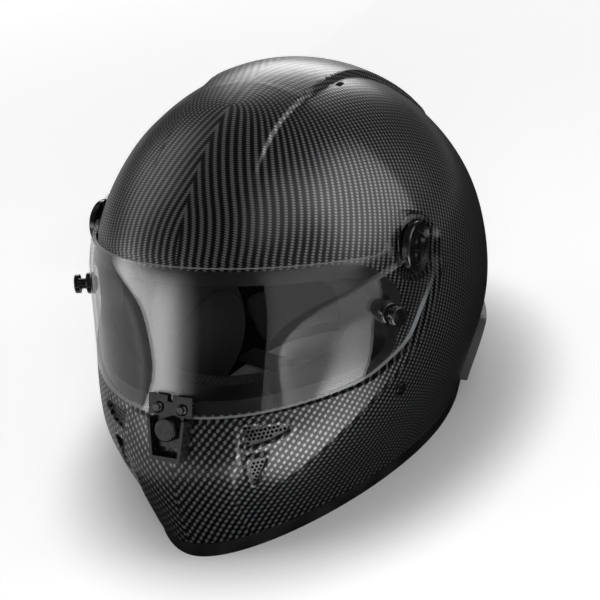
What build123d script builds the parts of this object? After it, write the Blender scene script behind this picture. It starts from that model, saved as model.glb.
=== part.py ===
"""Closed-face auto racing helmet, in millimetres, standing on its base edge.

+Z is up, -Y is where the wearer looks, +X is the wearer's left. The helmet leans back as a real one
does when it stands on a table. While it is modelled, Y = 0 is the plane of its widest section, and
every piece is moved to the middle of the whole helmet as it is written.
"""
import os

from build123d import *

# Head form: the outer skin of the shell
height = 256.0
front_reach = 184.0
rear_reach = 138.5
half_width = 128.7

# Walls and gaps
shell_wall = 3.5
glue_gap = 0.3
fit_gap = 0.1
running_gap = 0.05
base_edge = 2.0

# How far cutting solids run past the helmet
overrun = 60.0
far = front_reach + overrun

# Levels of the head form: height, front, rear and side as shares of the form's own sizes. The first
# lies below the base, so that every piece can be cut off cleanly.
level_shares = (
    (-0.08, 0.963, 0.856, 0.686),
    (0.0, 0.977, 0.896, 0.7405),
    (0.125, 0.998, 0.960, 0.8275),
    (0.25, 0.990, 0.999, 0.9285),
    (0.375, 0.923, 0.998, 0.9915),
    (0.492, 0.864, 0.9906, 0.9992),
    (0.6055, 0.8125, 0.956, 0.968),
    (0.711, 0.7554, 0.8765, 0.8905),
    (0.801, 0.6647, 0.7646, 0.779),
    (0.879, 0.543, 0.6195, 0.6325),
    (0.941, 0.391, 0.442, 0.452),
    (0.980, 0.227, 0.2563, 0.2626),
)
# Roundness of a section's corners at the base, at the knee level and at the crown
front_round_shares = (0.42, 0.54, 0.5523)
rear_round_shares = (0.595, 0.613, 0.5523)
round_knee_share = 0.25


def roundness(shares, level):
    """Roundness at one level, in straight runs between base, knee and crown."""
    base, knee, crown = shares
    if level < round_knee_share:
        return base + (knee - base) * max(level, 0) / round_knee_share
    return knee + (crown - knee) * (level - round_knee_share) / (1 - round_knee_share)


def section(front, rear, side, level_z, front_round, rear_round):
    """One horizontal outline of the head form, four curved quarters."""

    def quarter(wide, deep, bow):
        start = (0, deep, level_z)
        leave = (wide * bow, deep, level_z)
        arrive = (wide, deep * bow, level_z)
        end = (wide, 0, level_z)
        return start, leave, arrive, end

    front_left = Edge.make_bezier(*quarter(side, -front, front_round))
    rear_left = Edge.make_bezier(*reversed(quarter(side, rear, rear_round)))
    rear_right = Edge.make_bezier(*quarter(-side, rear, rear_round))
    front_right = Edge.make_bezier(*reversed(quarter(-side, -front, front_round)))
    return Wire([front_left, rear_left, rear_right, front_right])


def head_form(growth_at):
    """Dome whose skin lies outside the shell's skin by the growth at each level."""
    top = height + growth_at(1)[0]
    slices = []
    for level, front_share, rear_share, side_share in level_shares:
        front, side, rear = growth_at(level)
        outline = section(
            (front_reach + front) * front_share,
            (rear_reach + rear) * rear_share,
            (half_width + side) * side_share,
            level * top,
            roundness(front_round_shares, level),
            roundness(rear_round_shares, level),
        )
        slices.append(outline)
    slices.append(Vertex(0, 0, top))
    return Solid.make_loft(slices)


def even(growth):
    """The same growth all round."""
    return lambda level: (growth, growth, growth)


def across(outline):
    """Prism of a side-view outline over the whole width."""
    return extrude(outline, amount=far, both=True)


def side_outline(shares, radii):
    """Side-view face, its corners given as shares of the front reach and the height."""
    corners = [(y * front_reach, z * height) for y, z in shares]
    return make_face(Plane.YZ * FilletPolyline(*corners, radius=radii, close=True))


def block(low, high):
    """Box between two corners."""
    size = [b - a for a, b in zip(low, high)]
    return Pos(*low) * Solid.make_box(*size)


def above(level):
    """Everything over a level."""
    return block((-far, -far, level), (far, far, far + height))


def mirrored(shape):
    """The same piece on the wearer's right."""
    return mirror(shape, about=Plane.YZ)


def both_sides(shape):
    """The piece and its twin."""
    return [shape, mirrored(shape)]


def skin_plane(form, start, outward):
    """Plane on the skin of a form where a level line from start leaves it, z axis pointing out."""
    line = Axis(start, outward)
    hits = [hit for face in form.faces() for hit in face.find_intersection_points(line)]
    point, normal = max(hits, key=lambda hit: hit[0].dot(Vector(*outward)))
    out = normal if normal.dot(Vector(*outward)) > 0 else -normal
    return Plane(origin=point, x_dir=Vector(0, 0, 1).cross(out), z_dir=out)


def turned(plane, radius, low, high, x=0, y=0):
    """Round piece standing on a plane."""
    return plane * Pos(x, y, low) * Solid.make_cylinder(radius, high - low)


def top_circle(shape, plane):
    """The circle of a turned piece that lies furthest out."""
    line = Axis(plane.origin, plane.z_dir)
    return shape.edges().filter_by(GeomType.CIRCLE).sort_by(line)[-1]


parts = {}
outer_form = head_form(even(0))

# Eye port, in the side view from the lower front corner round to the upper one
port_shares = ((-1.2, 0.408), (-0.467, 0.408), (-0.405, 0.55), (-0.485, 0.638), (-1.2, 0.755))
port_radii = (0, 22.0, 13.0, 22.0, 0)

port_outline = side_outline(port_shares, port_radii)
port_hole = across(port_outline)

# Visor
visor_wall = 2.5
visor_stand_off = 0.8
visor_tuck = 3.3
visor_edge_gap = 1.4
recess_gap = 1.6
tuck_level_shares = (0.492, 0.6055)
visor_shares = (
    (-1.2, 0.379),
    (-0.565, 0.385),
    (-0.388, 0.425),
    (-0.168, 0.593),
    (-0.262, 0.634),
    (-0.334, 0.692),
    (-0.396, 0.657),
    (-1.2, 0.79),
)
visor_radii = (0, 60.0, 34.0, 0, 0, 0, 14.0, 0)

# Hinge of the visor, on a line across the helmet, and the round end of the visor's arm
pivot_y = -48.0
pivot_z = 162.0
pivot_set_in = 18.5
arm_radius = 20.0
pocket_floor = half_width - pivot_set_in
pocket_radius = arm_radius + visor_edge_gap


def visor_layer(growth):
    """Growth of a layer along the visor, which tucks in at the sides below the hinge."""

    def growth_at(level):
        low, high = tuck_level_shares
        rise = min(max((level - low) / (high - low), 0), 1)
        return growth, growth - visor_tuck * (1 - rise), growth

    return growth_at


def visor_outline(grow):
    """Side-view outline of the visor with its round arm end, grown by a gap."""
    end = Plane.YZ * Pos(pivot_y, pivot_z) * Circle(arm_radius)
    outline = side_outline(visor_shares, visor_radii) + end
    return offset(outline, amount=grow) if grow else outline


def pivot_disc(radius, inner_x, outer_x):
    """Round solid on the hinge line, on the wearer's left."""
    plane = Plane(origin=(0, pivot_y, pivot_z), x_dir=(0, 1, 0), z_dir=(1, 0, 0))
    return turned(plane, radius, inner_x, outer_x)


def skin(depth):
    """The shell's skin with the visor's recess, pushed in by a depth."""
    floor = head_form(visor_layer(visor_stand_off - recess_gap - depth))
    region = across(visor_outline(visor_edge_gap + depth))
    return head_form(even(-depth)) - (region - floor)


visor_outside = head_form(visor_layer(visor_stand_off + visor_wall))
visor_inside = head_form(visor_layer(visor_stand_off))

# Raised crown band: the head form again, moved back and up, so that its edges grow out of the brow
band_back = 3.2
band_up = 2.4
band_low_share = 0.74
band_plan_shares = (
    (0.30, -0.62),
    (0.285, -0.28),
    (0.315, -0.09),
    (0.342, 0.11),
    (0.36, 0.25),
    (0.44, 0.40),
    (0.62, 0.66),
)


def crown_band():
    """Raised band over the crown, drawn in plan by its left edge."""
    corners = [(x * half_width, y * front_reach) for x, y in band_plan_shares]
    left = Spline(*corners)
    right = mirrored(left)
    plan = make_face([left, right, Line(left @ 0, right @ 0), Line(left @ 1, right @ 1)])
    prism = extrude(Pos(0, 0, band_low_share * height) * plan, amount=height)
    return (Pos(0, band_back, band_up) * outer_form) & prism


# Rubber channel round the base edge
trim_wall = 1.6
trim_height = 10.0

# Raised panel down the middle of the chin bar, under the latch
panel_rise = 1.3
panel_half_width = 31.0
panel_top_share = 0.366
panel_corner = 5.0


def chin_panel():
    """Raised panel of the chin bar, square to the front view."""
    top = panel_top_share * height
    tall = top + overrun
    face = Plane.XZ * Pos(0, top - tall / 2) * RectangleRounded(panel_half_width * 2, tall, panel_corner)
    prism = Pos(0, -front_reach / 2, 0) * extrude(face, amount=front_reach)
    return head_form(even(panel_rise)) & prism & above(trim_height + fit_gap)


# Chin vents, drawn on a plane that lies along the cheek of the chin bar
vent_x = 54.0
vent_z = 91.0
vent_turn = 32.0
vent_corner = 1.2
vent_depth = 40.0
upper_vent = ((-14.0, 0), (15.5, -4.0), (13.0, -8.5), (2.0, -11.5), (-14.0, -13.5))
lower_vent = ((-14.0, -20.5), (-1.0, -20.5), (-8.0, -32.0), (-14.0, -42.0))
mesh_wall = 0.8
mesh_hole_radius = 0.9
mesh_pitch = 2.6
mesh_rim = 0.9
mesh_sink = 1.4


def vent_outline(corners, grow=0):
    """Rounded outline of one vent."""
    outline = make_face(FilletPolyline(*corners, radius=vent_corner, close=True))
    return offset(outline, amount=grow) if grow else outline


def vent_plane():
    """Plane of the left vents, its z axis pointing out of the cheek of the chin bar."""
    on_skin = skin_plane(outer_form, (vent_x, 0, vent_z), (0, -1, 0))
    out = Vector(0, -1, 0).rotate(Axis.Z, vent_turn)
    return Plane(origin=on_skin.origin, x_dir=Vector(0, 0, 1).cross(out), z_dir=out)


def vent_prism(corners):
    """Prism of one vent through the wall of the chin bar."""
    return vent_plane() * Pos(0, 0, -vent_depth / 2) * extrude(vent_outline(corners), amount=vent_depth)


# Small vent slot through the crown on each side of the band
crown_slot_x = 48.0
crown_slot_y = 11.0
crown_slot_length = 9.0
crown_slot_radius = 1.8


def crown_slot():
    """Upright prism of the left crown slot."""
    slot = SlotOverall(crown_slot_length, crown_slot_radius * 2)
    place = Pos(crown_slot_x, crown_slot_y, height - overrun) * Rot(0, 0, 90)
    return extrude(place * slot, amount=overrun * 2)


# Threaded insert for a head restraint tether, with the plug that closes it
insert_y = -81.0
insert_z = 78.5
insert_radius = 5.2
insert_length = 12.0
insert_bore = 2.6
plug_radius = 4.4
plug_rise = 1.0
plug_sink = 1.0
plug_stem_radius = 2.4
plug_stem = 8.0

insert_plane = skin_plane(outer_form, (0, insert_y, insert_z), (1, 0, 0))


def tether_inserts():
    """Insert and plug of each side; gives the hole that the insert is bonded in."""
    bottom = -insert_length - plug_sink
    insert = turned(insert_plane, insert_radius, bottom, -plug_sink)
    insert -= turned(insert_plane, insert_bore, bottom - overrun, 0)
    plug = turned(insert_plane, plug_radius, -plug_sink, plug_rise)
    plug = fillet(top_circle(plug, insert_plane), plug_rise * 0.8)
    plug += turned(insert_plane, plug_stem_radius, -plug_sink - plug_stem, -plug_sink)
    parts["tether_inserts"] = both_sides(insert)
    parts["tether_plugs"] = both_sides(plug)
    return turned(insert_plane, insert_radius + fit_gap, bottom - fit_gap, overrun)


# Pivot hardware
hub_flange_radius = 14.0
hub_flange_wall = 1.2
hub_radius = 7.0
arm_gap = 0.2
arm_rim = 2.5
cover_radius = 16.6
cover_wall = 4.8
cover_edge = 1.4
cover_dish_radius = 8.5
cover_dish = 1.6
grip_width = 5.0
screw_radius = 2.45
screw_head_radius = 4.2
screw_head_wall = 2.2
screw_socket_radius = 1.5
screw_sink = 2.6
nut_flange_radius = 8.0
nut_flange_wall = 1.5
nut_radius = 4.0
nut_length = 7.0

flange_face = pocket_floor + hub_flange_wall
arm_inner = flange_face + arm_gap
arm_outer = arm_inner + visor_wall
boss_face = arm_outer + arm_gap
cover_face = boss_face + cover_wall
nut_face = pocket_floor - shell_wall


def pivot_hardware():
    """Hubs, covers, screws and nuts of the hinge; the covers stay still as the visor turns."""
    bore = pivot_disc(screw_radius + fit_gap, 0, far)
    hub = pivot_disc(hub_flange_radius, pocket_floor, flange_face)
    hub = hub + pivot_disc(hub_radius, pocket_floor, boss_face) - bore
    cover = pivot_disc(cover_radius, boss_face, cover_face)
    rim_circle = cover.edges().filter_by(GeomType.CIRCLE).sort_by(Axis.X)[-1]
    cover = fillet(rim_circle, cover_edge)
    head_seat = cover_face - screw_sink
    dish = pivot_disc(cover_dish_radius, cover_face - cover_dish, far)
    grip = block(
        (cover_face - cover_dish, pivot_y - grip_width / 2, pivot_z - cover_radius),
        (cover_face, pivot_y + grip_width / 2, pivot_z + cover_radius),
    )
    well = pivot_disc(screw_head_radius + fit_gap, head_seat, far)
    cover = cover - (dish - grip) - well - bore
    screw = pivot_disc(screw_radius, nut_face - nut_length, head_seat)
    screw += pivot_disc(screw_head_radius, head_seat, head_seat + screw_head_wall)
    screw -= pivot_disc(screw_socket_radius, head_seat, far)
    nut = pivot_disc(nut_flange_radius, nut_face - nut_flange_wall, nut_face)
    nut += pivot_disc(nut_radius, nut_face - nut_length, nut_face)
    nut -= pivot_disc(screw_radius + running_gap, 0, far)
    for side, place in (("left", lambda piece: piece), ("right", mirrored)):
        parts["pivot_hub_" + side] = place(hub)
        parts["pivot_cover_" + side] = place(cover)
    parts["pivot_screws"] = both_sides(screw)
    parts["pivot_nuts"] = both_sides(nut)


# Tear-off posts near the rear corners of the port
post_y = -84.0
post_z = 134.5
post_radius = 2.5
post_neck_radius = 3.6
post_neck = 4.6
post_collar_radius = 7.2
post_collar = 3.2
post_cap_radius = 6.4
post_cap = 3.6
post_edge = 1.2
washer_radius = 7.4
washer_wall = 1.4
post_nut_radius = 4.4
post_nut = 1.1

post_plane = skin_plane(visor_outside, (0, post_y, post_z), (1, 0, 0))


def tear_off_posts():
    """Post, washer and sunk inner nut of each side; gives the stepped hole in the visor."""
    collar_top = washer_wall + post_collar
    neck_top = collar_top + post_neck
    nut_top = post_nut - visor_wall + fit_gap
    collar = turned(post_plane, post_collar_radius, washer_wall, collar_top)
    collar = fillet(top_circle(collar, post_plane), post_edge)
    cap = turned(post_plane, post_cap_radius, neck_top, neck_top + post_cap)
    cap = fillet(top_circle(cap, post_plane), post_edge)
    post = collar + cap + turned(post_plane, post_neck_radius, washer_wall, neck_top)
    post += turned(post_plane, post_radius, nut_top - post_nut, washer_wall)
    washer = turned(post_plane, washer_radius, -washer_wall, washer_wall) - visor_outside
    washer -= turned(post_plane, post_radius + fit_gap, -overrun, overrun)
    nut = turned(post_plane, post_nut_radius, nut_top - post_nut, nut_top)
    nut -= turned(post_plane, post_radius + running_gap, -overrun, overrun)
    parts["tear_off_posts"] = both_sides(post)
    parts["tear_off_washers"] = both_sides(washer)
    parts["tear_off_nuts"] = both_sides(nut)
    hole = turned(post_plane, post_radius + fit_gap, -overrun, overrun)
    return hole + turned(post_plane, post_nut_radius + fit_gap, -overrun, nut_top + fit_gap)


# Latch at the bottom middle of the visor: heights along the latch are measured down from its screws
latch_z = 103.0
bracket_wall = 2.2
bracket_lift = 0.2
ear_half_width = 15.5
ear_top = 8.0
ear_bottom = -4.5
ear_notch = 4.0
tongue_half_width = 10.0
tongue_tip_half_width = 7.8
tongue_end = -24.0
ear_screw_x = 8.5
ear_screw_radius = 1.5
ear_screw_head_radius = 3.7
ear_screw_head = 2.3
button_y = -12.5
button_radius = 7.4
button_wall = 3.6
button_travel = 2.0
button_stem_radius = 3.0
button_stem_lift = 0.9
button_edge = 0.9
spring_radius = 5.2
spring_wall = 1.0
spring_gap = 0.2
keeper_floor = -0.8
keeper_sink = 10.0
keeper_half_width = 13.4
keeper_tip_half_width = 10.8
keeper_wall = 2.0
keeper_rise = 7.4
keeper_top = -6.0
keeper_end = -29.0
lip_wall = 2.6
stem_hole_radius = 4.2
rivet_radius = 1.6
rivet_head_radius = 2.6
rivet_head = 0.6
rivet_x = 4.4
rivet_y = -25.0
rivet_length = 5.0

latch_plane = skin_plane(visor_outside, (0, 0, latch_z), (0, -1, 0))


def latch_plate(corners, low, high):
    """Flat piece of the latch."""
    return latch_plane * Pos(0, 0, low) * extrude(
        make_face(Polyline(*corners, close=True)), amount=high - low
    )


def latch_on_visor():
    """Bracket, screws, push button and spring; gives the screw holes in the visor."""
    face = bracket_lift + bracket_wall
    right_half = (
        (ear_notch / 2, ear_top - ear_notch),
        (ear_notch / 2, ear_top),
        (ear_half_width, ear_top),
        (ear_half_width, ear_bottom),
        (tongue_half_width, ear_bottom),
        (tongue_tip_half_width, tongue_end),
    )
    left_half = [(-x, y) for x, y in reversed(right_half)]
    bracket = latch_plate([*right_half, *left_half], bracket_lift, face)
    bracket -= turned(latch_plane, button_stem_radius + running_gap, -overrun, overrun, 0, button_y)
    screws = []
    holes = []
    for x in (-ear_screw_x, ear_screw_x):
        head = turned(latch_plane, ear_screw_head_radius, face, face + ear_screw_head, x)
        head = fillet(top_circle(head, latch_plane), ear_screw_head * 0.8)
        screws.append(head + turned(latch_plane, ear_screw_radius, -visor_wall, face, x))
        hole = turned(latch_plane, ear_screw_radius + fit_gap, -overrun, overrun, x)
        holes.append(hole)
        bracket -= hole
    knob_low = face + button_travel + fit_gap
    knob = turned(latch_plane, button_radius, knob_low, knob_low + button_wall, 0, button_y)
    knob = fillet(top_circle(knob, latch_plane), button_edge)
    groove_top = knob_low + button_travel
    wide = spring_radius + spring_gap
    narrow = spring_radius - spring_wall - spring_gap
    knob -= turned(latch_plane, wide, knob_low, groove_top, 0, button_y) - turned(
        latch_plane, narrow, knob_low, groove_top, 0, button_y
    )
    stem = turned(latch_plane, button_stem_radius, button_stem_lift, groove_top, 0, button_y)
    spring = turned(latch_plane, spring_radius, face, knob_low, 0, button_y)
    spring -= turned(latch_plane, spring_radius - spring_wall, face, knob_low, 0, button_y)
    parts["latch_bracket"] = bracket
    parts["latch_screws"] = screws
    parts["latch_button"] = knob + stem
    parts["latch_spring"] = spring
    return holes


def latch_keeper(shell):
    """Keeper seated on the chin bar, and its rivets."""
    taper = (keeper_half_width - keeper_tip_half_width) / (keeper_top - keeper_end)
    lip_half_width = keeper_tip_half_width - taper * lip_wall
    outline = (
        (-keeper_half_width, keeper_top),
        (keeper_half_width, keeper_top),
        (lip_half_width, keeper_end - lip_wall),
        (-lip_half_width, keeper_end - lip_wall),
    )
    channel = (
        (keeper_wall - keeper_half_width, keeper_top),
        (keeper_half_width - keeper_wall, keeper_top),
        (keeper_tip_half_width - keeper_wall, keeper_end),
        (keeper_wall - keeper_tip_half_width, keeper_end),
    )
    keeper = latch_plate(outline, -keeper_sink, keeper_rise) - latch_plate(channel, keeper_floor, keeper_rise)
    keeper = max((keeper - shell).solids(), key=lambda solid: solid.center().dot(latch_plane.z_dir))
    keeper -= turned(latch_plane, stem_hole_radius, -keeper_sink, keeper_rise, 0, button_y)
    rivets = []
    for x in (-rivet_x, rivet_x):
        rivet = turned(latch_plane, rivet_radius, keeper_floor - rivet_length, keeper_floor, x, rivet_y)
        rivet += turned(latch_plane, rivet_head_radius, keeper_floor, keeper_floor + rivet_head, x, rivet_y)
        rivets.append(rivet)
        keeper -= rivet
    parts["latch_keeper"] = keeper
    parts["keeper_rivets"] = rivets
    return rivets


def outer_shell():
    """Carbon laminate shell with port, visor recess, pivot pockets, vents and raised band."""
    outside = skin(0) + crown_band() + chin_panel()
    shell = outside - skin(shell_wall)
    cup = pivot_disc(pocket_radius + shell_wall, nut_face, far)
    pocket = pivot_disc(pocket_radius, pocket_floor, far)
    bore = pivot_disc(screw_radius + fit_gap, 0, far)
    bore += pivot_disc(nut_flange_radius + fit_gap, 0, nut_face)
    for add, take, hole in zip(both_sides(cup), both_sides(pocket), both_sides(bore)):
        shell = shell + (outside & add) - take - hole
    shell -= port_hole
    cuts = [vent_prism(upper_vent), vent_prism(lower_vent), crown_slot(), insert_hole]
    for cut in cuts:
        for tool in both_sides(cut):
            shell -= tool
    return shell & above(base_edge)


def visor(post_hole, screw_holes):
    """Clear sheet with a round cup at each arm that turns on the hub."""
    sheet = (visor_outside - visor_inside) & across(visor_outline(0))
    arm = pivot_disc(arm_radius, arm_inner, arm_outer)
    rim = pivot_disc(arm_radius, arm_inner, far) & visor_outside
    well = pivot_disc(arm_radius - arm_rim, 0, far)
    hollow = pivot_disc(arm_radius - arm_rim, arm_outer, far)
    under_arm = pivot_disc(pocket_radius, 0, arm_inner)
    hub_bore = pivot_disc(hub_radius + running_gap, 0, far)
    cup = rim + arm - hollow
    for open_up, under, add in zip(both_sides(well), both_sides(under_arm), both_sides(cup)):
        sheet = sheet - open_up - under + add
    for hole in both_sides(hub_bore):
        sheet -= hole
    for tool in both_sides(post_hole) + screw_holes:
        sheet -= tool
    return sheet


def vent_meshes():
    """Perforated sheets set inside the vent openings, bent like the skin."""
    plane = vent_plane()
    layer = head_form(even(-mesh_sink)) - head_form(even(-mesh_sink - mesh_wall))
    for name, corners in (("upper", upper_vent), ("lower", lower_vent)):
        sheet = vent_outline(corners, -fit_gap)
        inside = vent_outline(corners, -mesh_rim - mesh_hole_radius)
        box = inside.bounding_box()
        row_pitch = mesh_pitch * 3**0.5 / 2
        rows = int(box.size.Y / row_pitch) + 1
        columns = int(box.size.X / mesh_pitch) + 1
        holes = []
        for row in range(rows):
            for column in range(columns):
                x = box.min.X + (column + (row % 2) / 2) * mesh_pitch
                y = box.min.Y + row * row_pitch
                if inside.face().is_inside(Vector(x, y, 0)):
                    holes.append(Pos(x, y) * Circle(mesh_hole_radius))
        net = extrude(plane * Pos(0, 0, -vent_depth / 2) * (sheet - holes), amount=vent_depth)
        parts["chin_vent_mesh_" + name] = both_sides(net & layer)


# Rubber frame of the eye port
gasket_lining = 2.0
gasket_flange = 6.0
gasket_depth = 18.0
gasket_seal_gap = 0.3


def eye_port_gasket():
    """Rubber frame that lines the port and carries the lip behind the visor."""
    ring = head_form(visor_layer(visor_stand_off - gasket_seal_gap)) - head_form(even(-gasket_depth))
    ring = ring & across(offset(port_outline, amount=gasket_flange))
    ring -= across(offset(port_outline, amount=-gasket_lining))
    behind = skin(0) - port_hole
    return ring - behind


def base_edge_trim():
    """Rubber channel over the bottom edge of the shell."""
    band = head_form(even(trim_wall)) - head_form(even(-shell_wall - trim_wall))
    groove = head_form(even(fit_gap)) - head_form(even(-shell_wall - fit_gap))
    channel = groove & above(base_edge - fit_gap)
    return band - above(trim_height) - channel - block((-far, -far, -far), (far, far, 0))


# Spoiler round the back and sides above the base trim
spoiler_wall = 8.0
spoiler_shares = ((0.11, 0.062), (0.34, 0.195), (1.0, 0.225), (1.0, 0.062))
spoiler_radii = (6.0, 14.0, 0, 0)


def rear_spoiler():
    """Plastic band bonded round the back of the shell."""
    ring = head_form(even(spoiler_wall)) - head_form(even(fit_gap))
    return ring & across(side_outline(spoiler_shares, spoiler_radii))


# Crushable liner: thinner round the jaw than round the skull
impact_depth = 30.0
jaw_depth_share = 0.62
full_depth_share = 0.5
liner_low = 16.0
split_y = -62.0
split_z = 137.0


def inner_layer(depth):
    """Growth of a layer inside the impact liner."""

    def growth_at(level):
        rise = min(max(level / full_depth_share, 0), 1)
        liner = impact_depth * (jaw_depth_share + (1 - jaw_depth_share) * rise)
        return (-shell_wall - liner - depth,) * 3

    return growth_at


liner_inside = head_form(inner_layer(0))


def in_front(gap):
    """The part of the helmet taken by the chin bar, and a gap."""
    return block((-far, -far, -far), (far, split_y + gap, split_z + gap))


def impact_liners(holes):
    """Skull part and chin part of the foam, split in front of the ears."""
    foam = skin(shell_wall + glue_gap) - liner_inside
    foam -= across(offset(port_outline, amount=fit_gap))
    foam &= above(liner_low)
    for hole in holes:
        foam -= hole
    parts["impact_liner_skull"] = foam - in_front(glue_gap)
    parts["impact_liner_chin"] = foam & in_front(0)


# Comfort padding, always a little clear of the foam it is fastened to
pad_gap = 0.4
comfort_depth = 8.0
comfort_front_z = 124.0
comfort_rear_y = 36.0
comfort_rear_z = 68.0


def comfort_liner():
    """Padded cloth liner over the skull."""
    layer = head_form(inner_layer(pad_gap)) - head_form(inner_layer(pad_gap + comfort_depth))
    layer -= across(offset(port_outline, amount=gasket_flange))
    layer -= block((-far, -far, -far), (far, comfort_rear_y, comfort_front_z))
    layer -= block((-far, -far, -far), (far, far, comfort_rear_z))
    for crown in both_sides(cheek_crown(pad_gap)):
        layer -= crown
    return layer - in_front(glue_gap)


cheek_centre = (100.0, -36.0, 66.0)
cheek_radii = (56.0, 82.0, 56.0)
cheek_low = 16.0


def cheek_crown(gap):
    """Crowned form of the left cheek pad, grown by a gap."""
    return Pos(*cheek_centre) * scale(Sphere(1), by=tuple(radius + gap for radius in cheek_radii))


def cheek_pad():
    """Left cheek pad: crowned towards the face, its back on the liner."""
    return cheek_crown(0) & head_form(inner_layer(pad_gap)) & above(cheek_low)


neck_depth = 15.0
neck_low = 17.0
neck_top = 58.0
neck_front = 50.0


def neck_roll():
    """Padded roll round the nape."""
    layer = head_form(inner_layer(pad_gap)) - head_form(inner_layer(pad_gap + neck_depth))
    return layer & block((-far, neck_front, neck_low), (far, far, neck_top))


# Chin strap: a short webbing on the wearer's left and a long one on the right, each riveted to a
# wedge inside the shell, under the spoiler. Their free ends lie just over the table.
strap_y = 42.0
strap_width = 20.0
strap_wall = 1.8
strap_bend = 7.0
strap_start = (95.0, 43.0)
strap_run = ((86.5, 13.0), (62.0, 6.6))
strap_end_z = 4.6
strap_short_end = 42.0
strap_long_end = 12.0
strap_slot_x = 83.5
strap_slot_gap = 1.8
anchor_width = 22.0
anchor_length = 15.0
anchor_depth = 30.0
strap_rivet_radius = 2.0
strap_rivet_head_radius = 3.4
strap_rivet_head = 1.1
strap_rivet_x = 5.5
strap_rivet_y = 7.0
strap_rivet_bite = 2.0

# Two rings in the loop of the short webbing
ring_wire_radius = 1.0
ring_offset = 1.2
ring_half_width = 12.0
ring_length = 21.0
ring_corner = 3.0
ring_round = 11.0
loop_bore = 2.5

# Snap fastener on the long webbing
snap_socket_x = 20.0
snap_stud_x = 46.0
snap_radius = 5.6
snap_rise = 1.6
snap_stud_radius = 2.2
snap_stud = 2.6


def webbing(end_x):
    """Webbing of the wearer's left, bent along its run as seen from the front."""
    line = FilletPolyline(strap_start, *strap_run, (end_x, strap_end_z), radius=strap_bend)
    edge = Wire(line.edges()).offset_2d(strap_wall / 2, kind=Kind.INTERSECTION, side=Side.BOTH)
    ribbon = extrude(Plane.XZ * Face(edge), amount=strap_width)
    return Pos(0, strap_y + strap_width / 2, 0) * ribbon


def strap_anchor():
    """Wedge between webbing and shell, and its rivets; gives the rivets' holes."""
    (top_x, top_z), (low_x, low_z) = strap_start, strap_run[0]
    down = Vector(low_x - top_x, 0, low_z - top_z).normalized()
    out = down.cross(Vector(0, 1, 0))
    face = Plane(origin=(top_x, strap_y, top_z), x_dir=(0, -1, 0), z_dir=out)
    on_end = Align.CENTER, Align.MIN, Align.MIN
    wedge = Box(anchor_width, anchor_length, anchor_depth, align=on_end)
    wedge = (face * Pos(0, 0, strap_wall / 2) * wedge) & head_form(even(-shell_wall - fit_gap))
    rivets = []
    holes = []
    half_wall = strap_wall / 2
    for x in (-strap_rivet_x, strap_rivet_x):
        start = (face * Pos(x, strap_rivet_y, 0)).position
        on_shell = skin_plane(shell_inside, start, out)
        depth = (on_shell.origin - start).dot(out) + strap_rivet_bite
        shank = turned(face, strap_rivet_radius, -half_wall, depth, x, strap_rivet_y)
        head_low = -half_wall - strap_rivet_head
        head = turned(face, strap_rivet_head_radius, head_low, -half_wall, x, strap_rivet_y)
        rivets.append(shank + head)
        holes.append(turned(face, strap_rivet_radius + fit_gap, -strap_wall, depth + fit_gap, x, strap_rivet_y))
    for hole in holes:
        wedge -= hole
    parts["strap_anchors"] = both_sides(wedge)
    parts["strap_rivets"] = [piece for rivet in rivets for piece in both_sides(rivet)]
    return holes


def straps(holes):
    """Short webbing with the loop that holds the rings, and long webbing with its snap fastener."""
    loop_plane = Plane(origin=(strap_short_end, strap_y, strap_end_z), x_dir=(1, 0, 0), z_dir=(0, -1, 0))
    half = strap_width / 2
    loop_bore_hole = turned(loop_plane, loop_bore, -strap_width, strap_width)
    short = webbing(strap_short_end) + turned(loop_plane, loop_bore + strap_wall, -half, half)
    short -= loop_bore_hole
    long = webbing(strap_long_end)
    for hole in holes:
        short -= hole
        long -= hole
    rings = []
    for rise in (-ring_offset, ring_offset):
        outline = FilletPolyline(
            (0, -ring_half_width),
            (0, ring_half_width),
            (-ring_length, ring_half_width),
            (-ring_length, -ring_half_width),
            radius=[ring_corner, ring_corner, ring_round, ring_round],
            close=True,
        )
        plane = Plane(origin=(strap_short_end, strap_y, strap_end_z + rise))
        path = Wire((plane * outline).edges())
        start = Plane(origin=path @ 0, z_dir=path % 0)
        rings.append(sweep(start * Circle(ring_wire_radius), path=path))
    parts["strap_short"] = short
    parts["strap_rings"] = rings
    snap = []
    (low_x, low_z) = strap_run[-1]
    slope = Vector(strap_long_end - low_x, 0, strap_end_z - low_z).normalized()
    up = slope.cross(Vector(0, -1, 0))
    for x in (snap_socket_x, snap_stud_x):
        z = strap_end_z + (low_z - strap_end_z) * (x - strap_long_end) / (low_x - strap_long_end)
        snap.append(Plane(origin=(x, strap_y, z), x_dir=slope, z_dir=up))
    socket_plane, stud_plane = snap
    top = strap_wall / 2
    socket = turned(socket_plane, snap_radius, top, top + snap_rise)
    socket -= turned(socket_plane, snap_stud_radius + fit_gap, top, top + snap_rise)
    stud = turned(stud_plane, snap_radius, top, top + snap_rise / 2)
    stud += turned(stud_plane, snap_stud_radius, top, top + snap_stud)
    parts["strap_long"] = mirrored(long)
    parts["strap_snap_socket"] = mirrored(socket)
    parts["strap_snap_stud"] = mirrored(stud)


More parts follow.
